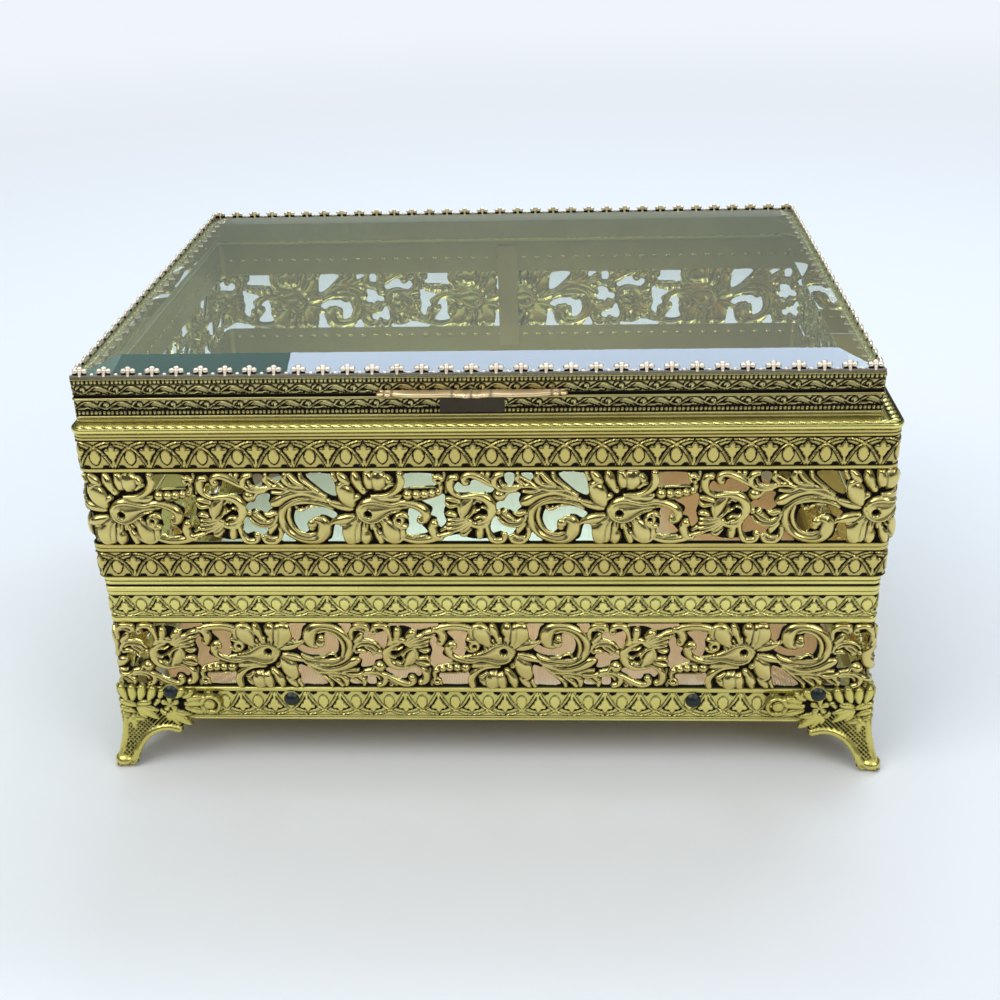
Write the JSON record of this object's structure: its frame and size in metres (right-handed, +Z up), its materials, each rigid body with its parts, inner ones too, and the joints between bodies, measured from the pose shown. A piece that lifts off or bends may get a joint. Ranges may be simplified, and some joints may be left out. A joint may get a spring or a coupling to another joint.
{
  "type": "glass casket box",
  "caption": "Rectangular gilt casket with openwork scroll walls on four flared feet and a hinged lid of bevelled glass in a crowned frame.",
  "frame": {"origin": "middle of the footprint, on the surface that the feet stand on", "axes": "+X to the right along the front, +Y from the front with the thumb lift to the hinged back, +Z up"},
  "size_m": [0.2202, 0.1702, 0.1212],
  "materials": {
    "gilt_openwork": "antiqued gilt, dark in the recesses",
    "gilt_band": "bright gilt with fine dark lines",
    "gilt_gallery": "worn bright gilt",
    "gilt_foot": "antiqued gilt",
    "gilt_pan": "satin",
    "dark_brass": "tarnished",
    "rose_gilt": "polished",
    "hinge_brass": "satin",
    "hinge_pin": "satin",
    "dark_rivet": "blackened",
    "bevelled_glass": "polished, faint green",
    "satin_lining": "satin",
    "card": "matt card"
  },
  "bodies": {
    "case": {"lower_strip": "gilt_openwork", "upper_strip": "gilt_openwork", "lower_seam_plate": "dark_brass", "upper_seam_plate": "dark_brass", "rim_moulding": "gilt_band", "collar": "gilt_band", "collar_lap_plate": "dark_brass", "bottom_pan": "gilt_pan", "lining_card": "card", "lining_pad": "satin_lining", "foot_front_left": "gilt_foot", "foot_front_right": "gilt_foot", "foot_back_left": "gilt_foot", "foot_back_right": "gilt_foot", "foot_rivets": "dark_rivet", "pan_rivets": "dark_rivet", "hinge_left_case_leaf": "hinge_brass", "hinge_left_pin": "hinge_pin", "hinge_right_case_leaf": "hinge_brass", "hinge_right_pin": "hinge_pin", "hinge_case_rivets": "hinge_brass"},
    "lid": {"hinge_left_lid_leaf": "hinge_brass", "hinge_right_lid_leaf": "hinge_brass", "hinge_lid_rivets": "hinge_brass", "lid_band": "gilt_band", "glass_retainer": "gilt_band", "glass_panel": "bevelled_glass", "gallery_front": "gilt_gallery", "gallery_back": "gilt_gallery", "gallery_left": "gilt_gallery", "gallery_right": "gilt_gallery", "thumb_lift": "rose_gilt"}
  },
  "joints": [
    {"name": "lid_hinge", "type": "hinge", "parent": "case", "child": "lid", "pos_m": [-0.002, 0.08015, 0.11315], "axis": [-1, 0, 0], "range_deg": [0, 105]}
  ]
}
